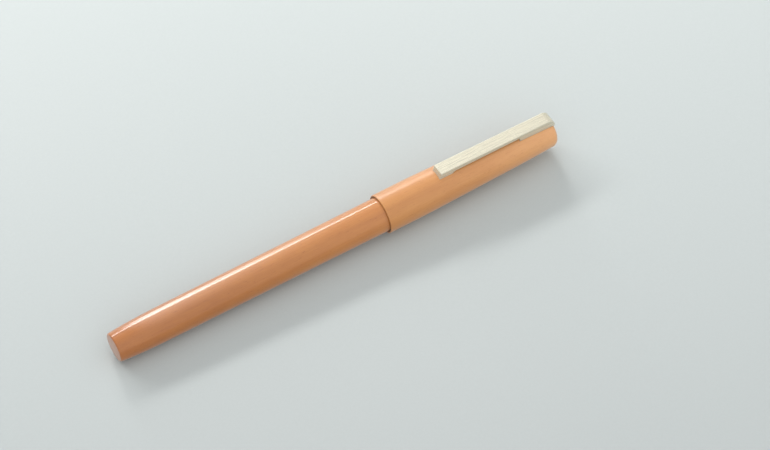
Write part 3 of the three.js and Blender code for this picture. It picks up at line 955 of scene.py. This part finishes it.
# Light: a pale room that is brighter in front of the pen than behind it, a key light low behind the
# pen, and a tall soft window that shines in the lacquer, with a fainter skylight in line with it.
# Levels are strengths of light. A place in the room is a part of the direction to it, from -1 to 1.
WALL_LEVELS = (1.3, 0.4)
WALL_AHEAD = (-1, 0.7)
OVERHEAD_LEVELS = (0, 0.3)
OVERHEAD_UP = (0.1, 1)
WINDOW_LEVELS = (0, 11)
WINDOW_AHEAD = (0.66, 0.88)
SKYLIGHT_LEVELS = (0, 4)
SKYLIGHT_AHEAD = (-0.8, 0.7)
SILL_UP = (0.02, 0.24)
WINDOW_ACROSS = 0.2
WINDOW_REACH = 0.1
ROOM_COLOUR = (0.985, 1.0, 1.0, 1)
LAMP_COLOUR = (1.0, 0.995, 0.985)
LAMP_DISTANCE = 1.6


def lamp(name, bearing, rise, width, height, radiance):
    """A soft light, placed and sized by its angles in degrees as seen from the pen."""
    light = bpy.data.lights.new(name, "AREA")
    light.shape = "RECTANGLE"
    light.size = 2 * LAMP_DISTANCE * tan(radians(width) / 2)
    light.size_y = 2 * LAMP_DISTANCE * tan(radians(height) / 2)
    light.energy = radiance * pi * light.size * light.size_y
    light.color = LAMP_COLOUR
    level = cos(radians(rise))
    direction = Vector((
        sin(radians(bearing)) * level,
        cos(radians(bearing)) * level,
        sin(radians(rise)),
    ))
    thing = new_object(name, light)
    thing.location = direction * LAMP_DISTANCE
    thing.rotation_euler = direction.to_track_quat("Z", "Y").to_euler()
    thing.visible_camera = False


def room():
    """A world whose level changes smoothly with direction, as in a room with a window and a skylight."""
    world = bpy.data.worlds.new("room")
    world.use_nodes = True
    tree = Nodes(world.node_tree, "Generated")
    across, ahead, up = tree.parts["X"], tree.parts["Y"], tree.parts["Z"]
    walls = tree.fade(ahead, WALL_AHEAD, WALL_LEVELS)
    overhead = tree.fade(up, OVERHEAD_UP, OVERHEAD_LEVELS)
    aside = tree.maths("ABSOLUTE", tree.maths("SUBTRACT", across, WINDOW_ACROSS))
    pane = tree.fade(aside, (0, WINDOW_REACH), (1, 0))
    window = tree.fade(ahead, WINDOW_AHEAD, WINDOW_LEVELS)
    skylight = tree.fade(ahead, SKYLIGHT_AHEAD, SKYLIGHT_LEVELS)
    sill = tree.fade(up, SILL_UP, (0, 1))
    glass = tree.maths("MULTIPLY", tree.maths("ADD", window, skylight), sill)
    indoors = tree.maths("ADD", walls, overhead)
    level = tree.maths("ADD", indoors, tree.maths("MULTIPLY", pane, glass))
    background = tree.nodes["Background"]
    background.inputs["Color"].default_value = ROOM_COLOUR
    tree.links.new(level, background.inputs["Strength"])
    bpy.context.scene.world = world


lamp("key", bearing=-6, rise=33, width=54, height=7, radiance=18.5)
room()


# Camera: where the photograph was taken from, as fitted to the pen's outline
CAMERA_PLACE = Vector((-224.7, -423.6, 664.4)) * MM
CAMERA_TURN = radians(29.49)
CAMERA_DIP = radians(53.78)
CAMERA_ROLL = radians(-2.11)
SENSOR_WIDTH = 36.0
PHOTO_WIDTH = 770
FOCAL_PIXELS = 3000


def camera():
    """The camera, turned from straight ahead, dipped to the table and rolled a little."""
    right = Vector((cos(CAMERA_TURN), -sin(CAMERA_TURN), 0))
    away = Vector((sin(CAMERA_TURN), cos(CAMERA_TURN), 0))
    up = Vector((0, 0, 1))
    forward = away * cos(CAMERA_DIP) - up * sin(CAMERA_DIP)
    top = away * sin(CAMERA_DIP) + up * cos(CAMERA_DIP)
    right_rolled = right * cos(CAMERA_ROLL) + top * sin(CAMERA_ROLL)
    top_rolled = top * cos(CAMERA_ROLL) - right * sin(CAMERA_ROLL)
    lens = bpy.data.cameras.new("camera")
    lens.sensor_width = SENSOR_WIDTH
    lens.lens = FOCAL_PIXELS / PHOTO_WIDTH * SENSOR_WIDTH
    view = new_object("camera", lens)
    turn = Matrix((right_rolled, top_rolled, -forward)).transposed()
    view.matrix_world = Matrix.Translation(CAMERA_PLACE) @ turn.to_4x4()
    bpy.context.scene.camera = view


camera()
bpy.context.scene.view_settings.view_transform = "Standard"
